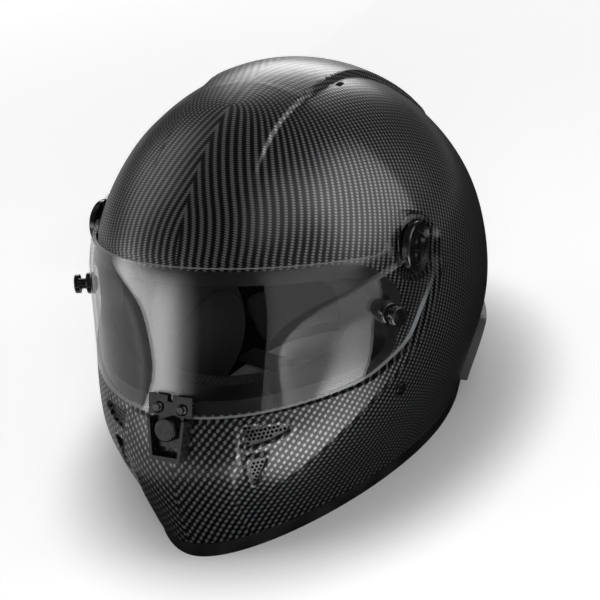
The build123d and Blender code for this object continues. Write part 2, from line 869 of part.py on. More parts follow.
shell_inside = head_form(even(-shell_wall))
insert_hole = tether_inserts()
pivot_hardware()
post_hole = tear_off_posts()
screw_holes = latch_on_visor()
strap_holes = strap_anchor()
straps(strap_holes)
shell = outer_shell()
keeper_holes = latch_keeper(shell)
vent_meshes()
for hole in keeper_holes:
    shell -= hole
for hole in strap_holes:
    for tool in both_sides(hole):
        shell -= tool
parts["outer_shell"] = shell
parts["visor"] = visor(post_hole, screw_holes)
parts["eye_port_gasket"] = eye_port_gasket()
parts["base_edge_trim"] = base_edge_trim()
parts["rear_spoiler"] = rear_spoiler()
parts["comfort_liner"] = comfort_liner()
parts["cheek_pad_left"] = cheek_pad()
parts["cheek_pad_right"] = mirrored(parts["cheek_pad_left"])
parts["neck_roll"] = neck_roll()
cup_room = pivot_disc(pocket_radius + shell_wall + glue_gap, nut_face - glue_gap, far)
nut_room = pivot_disc(nut_flange_radius + glue_gap, nut_face - nut_length - glue_gap, far)
strap_slot = block(
    (strap_slot_x, strap_y - anchor_width / 2 - strap_slot_gap, 0),
    (far, strap_y + anchor_width / 2 + strap_slot_gap, strap_start[1] + strap_slot_gap),
)
insert_room = turned(insert_plane, insert_radius + glue_gap, -insert_length - overrun / 6, overrun)
ducts = [vent_prism(upper_vent), vent_prism(lower_vent), crown_slot()]
rooms = [cup_room, nut_room, strap_slot, insert_room, *ducts]
impact_liners([tool for room in rooms for tool in both_sides(room)])


def solids_of(piece):
    """The solids of a piece, of a list of pieces or of a compound."""
    if isinstance(piece, list):
        return [solid for one in piece for solid in solids_of(one)]
    return list(piece.solids())


groups = {name: solids_of(piece) for name, piece in parts.items()}
whole = Compound([solid for solids in groups.values() for solid in solids]).bounding_box()
to_middle = Pos(0, -whole.center().Y, 0)
os.makedirs("parts", exist_ok=True)
for name, solids in groups.items():
    moved = [to_middle * solid for solid in solids]
    shape = moved[0] if len(moved) == 1 else Compound(moved)
    export_step(shape, "parts/" + name + ".step")
print("size", whole.size, "moved by", to_middle.position.Y)
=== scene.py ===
import math

import bpy
import numpy as np
from mathutils import Matrix, Vector


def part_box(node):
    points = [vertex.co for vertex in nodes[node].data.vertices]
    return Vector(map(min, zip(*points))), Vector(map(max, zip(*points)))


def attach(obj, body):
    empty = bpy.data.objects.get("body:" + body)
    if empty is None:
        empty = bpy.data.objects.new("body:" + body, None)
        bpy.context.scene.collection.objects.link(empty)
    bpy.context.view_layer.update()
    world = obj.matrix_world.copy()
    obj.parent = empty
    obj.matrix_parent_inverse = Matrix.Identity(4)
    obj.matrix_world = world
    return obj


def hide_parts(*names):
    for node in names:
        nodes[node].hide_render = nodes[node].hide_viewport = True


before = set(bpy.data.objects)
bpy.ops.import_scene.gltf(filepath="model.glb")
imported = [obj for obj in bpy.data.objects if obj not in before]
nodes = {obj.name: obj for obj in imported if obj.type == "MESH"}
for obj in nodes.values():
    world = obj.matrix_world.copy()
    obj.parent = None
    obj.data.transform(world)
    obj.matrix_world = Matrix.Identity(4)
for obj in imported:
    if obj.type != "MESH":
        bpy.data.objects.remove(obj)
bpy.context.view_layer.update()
mm = 0.001

# Outer shell: woven carbon in resin under a satin clear coat, moulded in halves whose cloth runs
# as a mirror image on each side of the middle. The skin is a dome on levels, each level four
# curved quarters; sizes are in millimetres, with Y = 0 at the widest section.
height = 256.0
front_reach = 184.0
rear_reach = 138.5
half_width = 128.7
shell_wall = 3.5
far = 260.0
level_shares = (
    (-0.08, 0.963, 0.856, 0.686),
    (0.0, 0.977, 0.896, 0.7405),
    (0.125, 0.998, 0.960, 0.8275),
    (0.25, 0.990, 0.999, 0.9285),
    (0.375, 0.923, 0.998, 0.9915),
    (0.492, 0.864, 0.9906, 0.9992),
    (0.6055, 0.8125, 0.956, 0.968),
    (0.711, 0.7554, 0.8765, 0.8905),
    (0.801, 0.6647, 0.7646, 0.779),
    (0.879, 0.543, 0.6195, 0.6325),
    (0.941, 0.391, 0.442, 0.452),
    (0.980, 0.227, 0.2563, 0.2626),
)
roundness_levels = (0.0, 0.25, 1.0)
front_roundness = (0.42, 0.54, 0.5523)
rear_roundness = (0.595, 0.613, 0.5523)
middle_level = 0.3
middle_shares = (0.96, 1, 0.97)
measured_steps = 4000
hub_low, hub_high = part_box("pivot_hub_left")
pivot_y = -48.0
pivot_z = 162.0
forward_shift = (hub_low.y + hub_high.y) / 2 - pivot_y * mm


def smoothstep(low, high, value):
    share = np.clip((value - low) / (high - low), 0, 1)
    return share * share * (3 - 2 * share)


def spline_through(knots, values, at):
    """Natural cubic curve through values at the knots, read at other places."""
    count = len(knots)
    values = np.asarray(values, float).reshape(count, -1)
    gap = np.diff(knots)
    matrix = np.eye(count)
    right = np.zeros_like(values)
    for i in range(1, count - 1):
        matrix[i, i - 1 : i + 2] = gap[i - 1], 2 * (gap[i - 1] + gap[i]), gap[i]
        right[i] = 6 * ((values[i + 1] - values[i]) / gap[i] - (values[i] - values[i - 1]) / gap[i - 1])
    bend = np.linalg.solve(matrix, right)
    i = np.clip(np.searchsorted(knots, at, side="right") - 1, 0, count - 2)
    width = gap[i][:, None]
    b = (np.asarray(at) - np.asarray(knots)[i])[:, None] / width
    a = 1 - b
    curved = ((a**3 - a) * bend[i] + (b**3 - b) * bend[i + 1]) * width**2 / 6
    return a * values[i] + b * values[i + 1] + curved


def level_outline(reaches, level, shares, around):
    """One level of the dome at places from 0 to 4 round it, starting in front."""
    front, side, rear = (reach * share for reach, share in zip(reaches, shares))
    bow_front = np.interp(level, roundness_levels, front_roundness)
    bow_rear = np.interp(level, roundness_levels, rear_roundness)
    quarter = np.floor(around).astype(int) % 4
    share = around - np.floor(around)
    t = np.where(quarter % 2 == 0, share, 1 - share)
    in_front = (quarter == 0) | (quarter == 3)
    deep = np.where(in_front, -front, rear)
    bow = np.where(in_front, bow_front, bow_rear)
    wide = np.where(quarter < 2, side, -side)
    leave = 3 * t * (1 - t) ** 2
    arrive = 3 * t**2 * (1 - t)
    x = wide * (leave * bow + arrive + t**3)
    y = deep * ((1 - t) ** 3 + leave + arrive * bow)
    return np.column_stack([x, y])


def dome(growth_at, columns, rows):
    """Rows of points over the head form with a growth at each level, and its top."""
    fine = np.linspace(0, 4, measured_steps + 1)
    reaches = (front_reach, half_width, rear_reach)
    middle = level_outline(reaches, middle_level, middle_shares, fine)
    run = np.concatenate([[0], np.cumsum(np.linalg.norm(np.diff(middle, axis=0), axis=1))])
    around = np.interp(np.linspace(0, run[-1], columns, endpoint=False), run, fine)
    top = height + growth_at(1)
    rings = []
    for level, front, rear, side in level_shares:
        growth = growth_at(level)
        sideways = growth_at(level, True)
        reaches = front_reach + growth, half_width + sideways, rear_reach + growth
        outline = level_outline(reaches, level, (front, side, rear), around)
        rings.append(np.column_stack([outline, np.full(columns, level * top)]))
    rings.append(np.tile([0.0, 0.0, top], (columns, 1)))
    for ring in rings[-2:-5:-1]:
        rings.append(np.roll(ring, columns // 2, axis=0))
    rings = np.array(rings)
    steps = np.linalg.norm(np.diff(rings, axis=0), axis=2).mean(axis=1)
    knots = np.concatenate([[0], np.cumsum(steps)])
    at = np.linspace(0, knots[len(level_shares)], rows + 1)[:-1]
    points = spline_through(knots, rings.reshape(len(rings), -1), at)
    return points.reshape(rows, columns, 3), np.array([0, 0, top])


def even(growth):
    return lambda level, sideways=False: growth


def outward(points):
    """Unit normals of rows of points round the dome."""
    along = np.roll(points, -1, axis=1) - np.roll(points, 1, axis=1)
    up = np.gradient(points, axis=0)
    normals = np.cross(along, up)
    return normals / np.linalg.norm(normals, axis=2, keepdims=True)


def new_piece(name, points, faces):
    """A mesh from points in millimetres."""
    mesh = bpy.data.meshes.new(name)
    moved = np.asarray(points, float) * mm + np.array([0, forward_shift, 0])
    mesh.from_pydata(moved.tolist(), [], faces)
    mesh.update()
    piece = bpy.data.objects.new(name, mesh)
    bpy.context.scene.collection.objects.link(piece)
    return piece


def dome_piece(name, points, top):
    """Closed mesh of a dome, flat underneath."""
    rows, columns = points.shape[:2]
    lower = np.arange(rows - 1)[:, None] * columns
    here = np.arange(columns)[None]
    there = (here + 1) % columns
    quads = np.stack([lower + here, lower + there, lower + columns + there, lower + columns + here], -1)
    last = (rows - 1) * columns
    faces = quads.reshape(-1, 4).tolist()
    faces += [[last + i, last + (i + 1) % columns, rows * columns] for i in range(columns)]
    faces.append(list(range(columns - 1, -1, -1)))
    return new_piece(name, np.vstack([points.reshape(-1, 3), top[None]]), faces)


def rounded(corners, radii, grow=0.0):
    """Outline with rounded corners, its anticlockwise corners moved outwards by grow."""
    outline = []
    corners = np.asarray(corners, float)
    ahead = np.roll(corners, -1, axis=0) - corners
    ahead /= np.linalg.norm(ahead, axis=1)[:, None]
    for corner, before, after, radius in zip(corners, np.roll(ahead, 1, axis=0), ahead, radii):
        turn = math.atan2(before[0] * after[1] - before[1] * after[0], before @ after)
        side = math.copysign(1, turn)
        out = np.array([before[1], -before[0]])
        out_after = np.array([after[1], -after[0]])
        corner_way = (out + out_after) / (1 + out @ out_after)
        bend = max(radius + grow * side, 0)
        centre = corner + corner_way * (grow - bend * side)
        steps = max(int(bend * abs(turn)), 1) if bend else 0
        for k in range(steps + 1):
            angle = turn * k / steps if steps else 0
            spun = (
                out[0] * math.cos(angle) - out[1] * math.sin(angle),
                out[0] * math.sin(angle) + out[1] * math.cos(angle),
            )
            outline.append((centre[0] + side * bend * spun[0], centre[1] + side * bend * spun[1]))
    return np.array(outline)


def prism(name, outline, origin, x_way, y_way, low, high):
    """Solid of an outline drawn on a plane, from low to high along the plane's normal."""
    x_way, y_way = (np.asarray(way, float) for way in (x_way, y_way))
    out = np.cross(x_way, y_way)
    flat = np.asarray(origin) + outline[:, :1] * x_way + outline[:, 1:] * y_way
    count = len(outline)
    faces = [[i, (i + 1) % count, count + (i + 1) % count, count + i] for i in range(count)]
    faces += [list(range(count - 1, -1, -1)), list(range(count, 2 * count))]
    return new_piece(name, np.vstack([flat + out * low, flat + out * high]), faces)


def circle(radius, segments=96):
    angles = np.arange(segments) * 2 * math.pi / segments
    return np.column_stack([np.cos(angles), np.sin(angles)]) * radius


def both_sides(piece):
    """The piece and its mirror image."""
    twin = piece.copy()
    twin.data = piece.data.copy()
    twin.name = piece.name + "_right"
    bpy.context.scene.collection.objects.link(twin)
    twin.data.transform(Matrix.Scale(-1, 4, (1, 0, 0)))
    twin.data.flip_normals()
    return [piece, twin]


def side_prism(name, outline):
    """Prism of a side view across the whole helmet."""
    return prism(name, outline, (0, 0, 0), (0, 1, 0), (0, 0, 1), -far, far)


def pivot_disc(radius, inner, outer):
    """Discs on the hinge line, one on each side."""
    centre = (0, pivot_y, pivot_z)
    return both_sides(prism("disc", circle(radius), centre, (0, 1, 0), (0, 0, 1), inner, outer))


def combine(piece, operation, tools):
    """Boolean of a piece with tools, which are used up."""
    group = bpy.data.collections.new("tools")
    for tool in tools:
        group.objects.link(tool)
    step = piece.modifiers.new("boolean", "BOOLEAN")
    step.operation = operation
    step.solver = "MANIFOLD"
    step.operand_type = "COLLECTION"
    step.collection = group
    bpy.context.view_layer.objects.active = piece
    bpy.ops.object.modifier_apply(modifier=step.name)
    for tool in tools:
        bpy.data.objects.remove(tool)
    bpy.data.collections.remove(group)
    return piece


# The visor's place: its gap to the recess in the shell, the pockets for its hinge and, as shares of
# the front reach and the height, its outline and the eye port's as seen from the side
visor_wall = 2.5
visor_stand_off = 0.8
visor_tuck = 3.3
visor_edge_gap = 1.4
recess_gap = 1.6
recess_edge_gap = 2.5
tuck_levels = (0.492, 0.6055)
arm_radius = 20.0
pocket_radius = arm_radius + visor_edge_gap
pocket_depth = 18.5
pocket_floor = half_width - pocket_depth
nut_face = pocket_floor - shell_wall
nut_hole_radius = 8.1
visor_shares = (
    (-1.2, 0.379),
    (-0.565, 0.385),
    (-0.388, 0.425),
    (-0.168, 0.593),
    (-0.262, 0.634),
    (-0.334, 0.692),
    (-0.396, 0.657),
    (-1.2, 0.79),
)
visor_radii = (0, 60.0, 34.0, 0, 0, 0, 14.0, 0)
port_shares = ((-1.2, 0.408), (-0.467, 0.408), (-0.405, 0.55), (-0.485, 0.638), (-1.2, 0.755))
port_radii = (0, 22.0, 13.0, 22.0, 0)


def side_corners(shares):
    return [(y * front_reach, z * height) for y, z in shares]


def visor_layer(growth):
    """Growth of a layer along the visor, which tucks in at the sides below the hinge."""

    def growth_at(level, sideways=False):
        tucked = visor_tuck * (1 - np.interp(level, tuck_levels, (0, 1)))
        return growth - tucked if sideways else growth

    return growth_at


def visor_region(grow):
    outline = rounded(side_corners(visor_shares), visor_radii, grow)
    centre = (0, pivot_y, pivot_z)
    end = prism("arm_end", circle(arm_radius + grow), centre, (0, 1, 0), (0, 0, 1), -far, far)
    return combine(side_prism("region", outline), "UNION", [end])


def recess(depth, columns, rows):
    """What the visor's recess takes from the skin at a depth."""
    floor = dome_piece("floor", *dome(visor_layer(visor_stand_off - recess_gap - depth), columns, rows))
    return combine(visor_region(recess_edge_gap + depth), "DIFFERENCE", [floor])


# Line of the crease along the jaw, from the hinge down to the chin
crease_line = np.array([
    (123, -36, 142),
    (121, -48, 125),
    (117, -61, 111),
    (111, -80, 97),
    (102, -101, 86),
    (90, -122, 74),
    (76, -140, 63.5),
    (60, -153, 51.5),
    (43, -165, 40),
    (29, -174, 30),
])
crease_axis_y = -20.0
crease_step = 3.4
crease_fall = 22.0
crease_drop = 3.2
crease_front_bearings = (10, 34)
crease_rear_bearings = (80, 92)

# Crown band, chin panel and the rims of the chin vents, which stand a little out of the skin
band_shift = (0, 3.2, 2.4)
band_plan = (
    (0.30, -0.62),
    (0.285, -0.28),
    (0.315, -0.09),
    (0.342, 0.11),
    (0.36, 0.25),
    (0.44, 0.40),
    (0.62, 0.66),
)
band_start_shares = (0.70, 0.76)
band_run_out = 26.0
band_soft = 1.4
valley_depth = 0.9
valley_reach = 9.0
valley_start_shares = (0.865, 0.925)
band_points = 300
panel_rise = 1.3
panel_levels = (45.0, 74.0)
panel_half_widths = (34.5, 40.0)
panel_top = 0.366 * height
panel_corner = 5.0
trim_height = 10.0
edge_soft = 0.8
vent_origin = np.array([54, -155.04, 91])
vent_turn = math.radians(32)
vent_x_way = np.array([math.cos(vent_turn), math.sin(vent_turn), 0])
vent_depth = 20.0
vent_corner = 1.2
vent_rim = 2.6
vent_rim_rise = 0.7
vent_zone_back = -90.0
vent_zone_levels = (30.0, 110.0)
upper_vent = ((-14.0, 0), (15.5, -4.0), (13.0, -8.5), (2.0, -11.5), (-14.0, -13.5))[::-1]
lower_vent = ((-14.0, -20.5), (-1.0, -20.5), (-8.0, -32.0), (-14.0, -42.0))[::-1]


def distance_to(outline, flat):
    """Distance of flat points from a closed outline, negative inside."""
    ends = np.roll(outline, -1, axis=0)
    best = np.full(len(flat), np.inf)
    inside = np.zeros(len(flat), bool)
    for start, end in zip(outline, ends):
        edge = end - start
        share = np.clip((flat - start) @ edge / (edge @ edge + 1e-12), 0, 1)
        best = np.minimum(best, np.linalg.norm(flat - start - share[:, None] * edge, axis=1))
        crosses = (start[1] > flat[:, 1]) != (end[1] > flat[:, 1])
        slope = (flat[:, 1] - start[1]) / (edge[1] if edge[1] else 1)
        inside ^= crosses & (flat[:, 0] < start[0] + slope * edge[0])
    return np.where(inside, -best, best)


def crease_rise(points):
    """The skin swells out above the crease and drops in below it."""
    bearing = np.degrees(np.arctan2(np.abs(points[..., 0]), crease_axis_y - points[..., 1]))
    line_bearing = np.degrees(np.arctan2(crease_line[:, 0], crease_axis_y - crease_line[:, 1]))[::-1]
    line_z = crease_line[::-1, 2]
    run = np.hypot(*np.diff(crease_line[::-1, :2], axis=0).T)
    slope = np.arctan(np.diff(line_z) / run)
    level = np.interp(bearing, line_bearing, line_z)
    lean = np.interp(bearing, (line_bearing[1:] + line_bearing[:-1]) / 2, slope)
    above = (points[..., 2] - level) * np.cos(lean)
    profile = np.where(above > 0, np.exp(-above / crease_fall), 1 - smoothstep(0, crease_drop, -above))
    begun = smoothstep(*crease_front_bearings, bearing)
    ended = smoothstep(*crease_rear_bearings, bearing)
    return crease_step * profile * (begun * (1 - ended))


def band_rise(points, normals):
    """Raised crown band: the form again, moved back and up, so its edges grow out of the brow."""
    plan = np.array([(x * half_width, y * front_reach) for x, y in band_plan])
    fine = np.linspace(plan[0, 1], plan[-1, 1], band_points)
    edge = np.interp(points[..., 1], fine, spline_through(plan[:, 1], plan[:, 0], fine)[:, 0])
    within = edge - np.abs(points[..., 0])
    inside = smoothstep(-band_soft, band_soft, within)
    inside *= smoothstep(*(share * height for share in band_start_shares), points[..., 2])
    run_out = 1 - smoothstep(plan[-1, 1] - band_run_out, plan[-1, 1], points[..., 1])
    valley = np.exp(np.minimum(within, 0) / valley_reach) * (1 - smoothstep(-band_soft, band_soft, within))
    valley *= valley_depth * smoothstep(*(share * height for share in valley_start_shares), points[..., 2])
    return (np.maximum(normals @ np.array(band_shift), 0) * inside - valley) * run_out


def panel_rise_at(points):
    """Raised panel down the middle of the chin bar."""
    half = np.interp(points[..., 2], panel_levels, panel_half_widths)
    x = np.abs(points[..., 0]) - half + panel_corner
    z = points[..., 2] - panel_top + panel_corner
    edge = np.hypot(np.maximum(x, 0), np.maximum(z, 0)) + np.minimum(np.maximum(x, z), 0) - panel_corner
    front = (points[..., 1] < 0) & (points[..., 2] > trim_height)
    return panel_rise * (1 - smoothstep(-edge_soft, edge_soft, edge)) * front


def vent_rise(points):
    """Rolled rims of the chin vents."""
    rise = np.zeros(points.shape[:2])
    low, high = vent_zone_levels
    near = (points[..., 1] < vent_zone_back) & (points[..., 2] < high) & (points[..., 2] > low)
    place = points[near]
    flat = np.column_stack([
        (np.column_stack([np.abs(place[:, 0]), place[:, 1:]]) - vent_origin) @ vent_x_way,
        place[:, 2] - vent_origin[2],
    ])
    for corners in (upper_vent, lower_vent):
        away = distance_to(rounded(corners, [vent_corner] * len(corners)), flat)
        bead = 1 - np.clip(np.abs(away - vent_rim / 2) / (vent_rim / 2), 0, 1) ** 2
        rise[near] = np.maximum(rise[near], vent_rim_rise * bead)
    return rise


# Holes for the tether inserts low on each side, and a slot through the crown beside the band
insert_origin = np.array([110.0, -81.0, 78.5])
insert_normal = np.array([0.9268, -0.3412, -0.1570])
insert_radius = 5.3
insert_depth = 13.0
crown_slot_place = (48.0, 11.0)
crown_slot_size = (9.0, 3.6)
crown_slot_reach = 60.0
least_run = 0.01
hole_segments = 48
base_edge = 2.0


def square_to(normal):
    """Two ways on the plane square to a normal."""
    x_way = np.cross((0, 0, 1), normal)
    x_way /= np.linalg.norm(x_way)
    return x_way, np.cross(normal, x_way)


def slot_outline(length, width):
    half = (length - width) / 2
    corners = ((-half - width / 2, -width / 2), (half + width / 2, -width / 2))
    corners += tuple((-x, -y) for x, y in corners)
    return rounded(corners, [width / 2 - least_run] * 4)


columns, rows = ((600, 216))
points, top = dome(even(0), columns, rows)
normals = outward(points)
rise = crease_rise(points) + band_rise(points, normals) + panel_rise_at(points) + vent_rise(points)
points = points + normals * rise[..., None]
top = top + np.array([0, 0, band_shift[2]])
shell = dome_piece("shell", points, top)
cavity = dome_piece("cavity", *dome(even(-shell_wall), columns // 2, rows // 2))
inner_recess = recess(shell_wall, columns // 2, rows // 2)
combine(cavity, "DIFFERENCE", [inner_recess, *pivot_disc(pocket_radius + shell_wall, nut_face, far)])
vent_cuts = []
for corners in (upper_vent, lower_vent):
    outline = rounded(corners, [vent_corner] * len(corners))
    vent_cuts.append(prism("vent", outline, vent_origin, vent_x_way, (0, 0, 1), -vent_depth, vent_depth))
slot = slot_outline(*crown_slot_size)
slot_origin = (*crown_slot_place, height)
slot_cut = prism("slot", slot, slot_origin, (0, 1, 0), (-1, 0, 0), -crown_slot_reach, crown_slot_reach)
insert = circle(insert_radius, hole_segments)
insert_ways = square_to(insert_normal)
insert_cut = prism("insert_hole", insert, insert_origin, *insert_ways, -insert_depth, far / 4)
ground = rounded([(-far, -far), (far, -far), (far, far), (-far, far)], [0] * 4)
cuts = [
    cavity,
    recess(0, columns // 2, rows // 2),
    side_prism("port", rounded(side_corners(port_shares), port_radii)),
    prism("below", ground, (0, 0, 0), (1, 0, 0), (0, 1, 0), -far, base_edge),
    *pivot_disc(pocket_radius, pocket_floor, far),
    *pivot_disc(nut_hole_radius, 0, nut_face),
]
for cut in [*vent_cuts, slot_cut, insert_cut]:
    cuts += both_sides(cut)
combine(shell, "DIFFERENCE", cuts)
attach(shell, "helmet")
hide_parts("outer_shell")

# Finishes. Each is a node tree: Socket lets its maths be written as Python expressions, and every
# node is added through the tree's node method.
class Socket:
    """One output of a node tree."""

    def __init__(self, tree, output):
        self.tree = tree
        self.output = output

    def maths(self, operation, *others):
        return self.tree.node("ShaderNodeMath", {"operation": operation}, [self, *others])

    def __add__(self, other):
        return self.maths("ADD", other)

    def __radd__(self, other):
        return self.maths("ADD", other)

    def __sub__(self, other):
        return self.maths("SUBTRACT", other)

    def __rsub__(self, other):
        return self.tree.node("ShaderNodeMath", {"operation": "SUBTRACT"}, [other, self])

    def __mul__(self, other):
        return self.maths("MULTIPLY", other)

    def __rmul__(self, other):
        return self.maths("MULTIPLY", other)

    def __truediv__(self, other):
        return self.maths("DIVIDE", other)

    def __pow__(self, other):
        return self.maths("POWER", other)

    def __mod__(self, other):
        return self.maths("FLOORED_MODULO", other)

    def __lt__(self, other):
        return self.maths("LESS_THAN", other)

    def __gt__(self, other):
        return self.maths("GREATER_THAN", other)

    def floor(self):
        return self.maths("FLOOR")

    def size(self):
        return self.maths("ABSOLUTE")

    def sine(self):
        return self.maths("SINE")

    def root(self):
        return self.maths("SQRT")

    def angle(self, other):
        return self.maths("ARCTAN2", other)

    def at_most(self, other):
        return self.maths("MINIMUM", other)

    def at_least(self, other):
        return self.maths("MAXIMUM", other)

    def ramp(self, low, high, start=0.0, end=1.0):
        """A soft change from start to end as this value goes from low to high."""
        settings = {"interpolation_type": "SMOOTHSTEP"}
        return self.tree.node("ShaderNodeMapRange", settings, [self, low, high, start, end])

    def blend(self, low, high):
        """Colour between low and high, with this value as the share of high."""
        inputs = {"Factor": self, 6: low, 7: high}
        return self.tree.node("ShaderNodeMix", {"data_type": "RGBA"}, inputs, output=2)


class Tree:
    """A node tree whose nodes are all added in one way."""

    def __init__(self, owner):
        owner.use_nodes = True
        self.tree = owner.node_tree

    def node(self, kind, settings=None, inputs=(), output=0):
        """Adds a node: its settings first, then the values or links of its sockets."""
        made = self.tree.nodes.new(kind)
        for name, value in (settings or {}).items():
            setattr(made, name, value)
        pairs = inputs.items() if isinstance(inputs, dict) else enumerate(inputs)
        for key, value in pairs:
            self.feed(made.inputs[key], value)
        return Socket(self, made.outputs[output])

    def feed(self, entry, value):
        if isinstance(value, Socket):
            self.tree.links.new(value.output, entry)
        elif entry.type == "RGBA" and len(value) == 3:
            entry.default_value = (*value, 1)
        else:
            entry.default_value = value

    def parts_of(self, vector):
        """X, Y and Z of a vector."""
        split = self.tree.nodes.new("ShaderNodeSeparateXYZ")
        self.feed(split.inputs[0], vector)
        return [Socket(self, output) for output in split.outputs]

    def ray(self, kind):
        """1 for rays of one kind."""
        return self.node("ShaderNodeLightPath", output=kind)


class Finish(Tree):
    """A material with one main shader."""

    def __init__(self, name, **shader_inputs):
        self.material = bpy.data.materials.new(name)
        super().__init__(self.material)
        self.shader = self.tree.nodes["Principled BSDF"]
        self.set(**shader_inputs)

    def set(self, **shader_inputs):
        """Sets or links the main shader's sockets, whose names have _ for a space."""
        for name, value in shader_inputs.items():
            self.feed(self.shader.inputs[name.replace("_", " ")], value)

    def where(self):
        return self.node("ShaderNodeTexCoord", output=3)

    def place(self):
        """X, Y and Z of the object's own space, in metres."""
        return self.parts_of(self.where())

    def noise(self, scale, detail=2.0, roughness=0.5):
        inputs = {"Vector": self.where(), "Scale": scale, "Detail": detail, "Roughness": roughness}
        return self.node("ShaderNodeTexNoise", {}, inputs)

    def bump(self, height, distance, strength=1.0):
        """Feeds the main shader's Normal with a height, in units of distance."""
        inputs = {"Height": height, "Distance": distance, "Strength": strength}
        self.set(Normal=self.node("ShaderNodeBump", {}, inputs))

    def wear_on(self, *pieces):
        for piece in pieces:
            piece.data.materials.clear()
            piece.data.materials.append(self.material)


def smooth(piece, angle=35):
    """Smooth shading with sharp edges above an angle in degrees."""
    piece.data.shade_smooth()
    piece.data.set_sharp_from_angle(angle=math.radians(angle))


# Carbon cloth: pitch of the twill's wales and of the tows along them, and how its lay turns with the
# arc from the crown down to the chin, where the cloth is stretched over the form
wale_pitch = 5.3 * mm
dash_pitch = 1.9 * mm
lay_radius = 130 * mm
lay_level = 130 * mm
lay_low = -60 * mm
lay_high = 115 * mm
lay_start = 1.25
lay_end = -0.3
tow_roll = 1.5
tow_relief = 0.12 * mm
# Near-black resin, and the light colour painted on the tows of one family as their sheen
resin_colour = (0.0015, 0.0015, 0.0017)
sheen_tow_colour = (0.21, 0.214, 0.222)


def weave(finish):
    """2 x 2 twill laid at 45 degrees and sheared over the dome: which tow is on top, its height."""
    x, y, z = finish.place()
    side = x.size()
    forward = y * -1 + (forward_shift + pivot_y * mm)
    reach = (side * side + forward * forward).root()
    round_the_head = side.angle(forward) * reach
    level = z - lay_level
    lift = level.angle(reach) * lay_radius
    turning = lift.at_least(lay_low).at_most(lay_high) - lay_low
    slope = (lay_end - lay_start) / (lay_high - lay_low)
    drift = turning * turning * (slope / 2) + lift * lay_start
    drift = drift + (lift - lay_high).at_least(0) * (lay_end - lay_start)
    across = round_the_head - drift
    s = across * (2 / wale_pitch) - lift / dash_pitch
    t = across * (2 / wale_pitch) + lift / dash_pitch
    row = t.floor()
    column = s.floor()
    along_a = (s + row) % 4
    along_b = (t + column - 2) % 4
    a_on_top = along_a < 2
    b_on_top = 1 - a_on_top
    across_a = (t - row) * 2 - 1
    across_b = (s - column) * 2 - 1
    lying = (along_a - 1) * a_on_top + (along_b - 1) * b_on_top
    rounding = across_a * a_on_top + across_b * b_on_top
    crown = 1 - rounding * rounding
    fade = 1 - lying**4
    return a_on_top, crown, fade


carbon = Finish("carbon_laminate", Roughness=0.44, IOR=1.2, Coat_Roughness=0.24, Coat_IOR=1.9)
a_on_top, tow_crown, tow_fade = weave(carbon)
# Painted sheen: only the tows of one family, most along each tow's crown, get the light mirror-like colour,
# while the other family stays near black. These are lit and shaded copies of one fibre. The mirror-like
# shine of those tows is real reflection; which family shines is painted.
painted_sheen = a_on_top * (tow_crown * tow_fade) ** tow_roll
patch = carbon.noise(9, 3).ramp(0.3, 0.7, 0.85, 1.15)
carbon.set(Base_Color=(painted_sheen * patch).blend(resin_colour, sheen_tow_colour))
carbon.set(Metallic=painted_sheen * 0.9)
carbon.set(Coat_Weight=painted_sheen * 0.15 + 0.38)
carbon.bump(tow_crown * 0.7 + tow_fade * 0.5, tow_relief)
carbon.wear_on(shell)
smooth(shell)

# Visor: one clear sheet pressed to the shell's curve, with a round cup at each end that turns on
# the hub; its cut edge is painted a pale, part-opaque grey, a painted highlight for the light it catches.
arm_inner = pocket_floor + 1.4
arm_outer = arm_inner + visor_wall
arm_rim = 2.5
hub_bore = 7.05
post_origin = np.array([108.93, -84.0, 134.5])
post_normal = np.array([0.8902, -0.4513, 0.0620])
post_hole_radius = 2.6
post_sink_radius = 4.5
post_sink = -1.2
latch_origin = np.array([0, -170.50, 103.0])
latch_normal = np.array([0, -0.927732, 0.373248])
latch_screw_x = 8.5
latch_screw_hole = 1.6
edge_lean = 0.55
edge_clear_of_pocket = 0.3
core = Vector((0, forward_shift - 20 * mm, 130 * mm))
hinge = Vector((0, forward_shift + pivot_y * mm, pivot_z * mm))


def stud_hole(name, radius, origin, normal, low, high, x=0):
    x_way, y_way = square_to(normal)
    return prism(name, circle(radius, hole_segments) + np.array([x, 0]), origin, x_way, y_way, low, high)


sheet_columns, sheet_rows = ((480, 170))
sheet = dome(visor_layer(visor_stand_off + visor_wall), sheet_columns, sheet_rows)
visor = dome_piece("visor_sheet", *sheet)
outside = visor.copy()
outside.data = visor.data.copy()
bpy.context.scene.collection.objects.link(outside)
cups = pivot_disc(arm_radius, arm_inner, far)
combine(outside, "INTERSECT", [combine(cups[0], "UNION", [cups[1]])])
hollows = pivot_disc(arm_radius - arm_rim, arm_outer, far)
combine(outside, "DIFFERENCE", hollows)
combine(visor, "INTERSECT", [visor_region(0)])
inside = dome_piece("inside", *dome(visor_layer(visor_stand_off), sheet_columns, sheet_rows))
openings = [inside, *pivot_disc(arm_radius - arm_rim, 0, far), *pivot_disc(pocket_radius, 0, arm_inner)]
combine(visor, "DIFFERENCE", openings)
combine(visor, "UNION", [outside])
holes = pivot_disc(hub_bore, 0, far)
holes += both_sides(stud_hole("post_hole", post_hole_radius, post_origin, post_normal, -far / 4, far / 4))
holes += both_sides(stud_hole("post_sink", post_sink_radius, post_origin, post_normal, -far / 4, post_sink))
for x in (-latch_screw_x, latch_screw_x):
    place = (latch_origin, latch_normal)
    holes.append(stud_hole("latch_hole", latch_screw_hole, *place, -far / 4, far / 4, x))
combine(visor, "DIFFERENCE", holes)
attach(visor, "visor_unit")
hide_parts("visor")

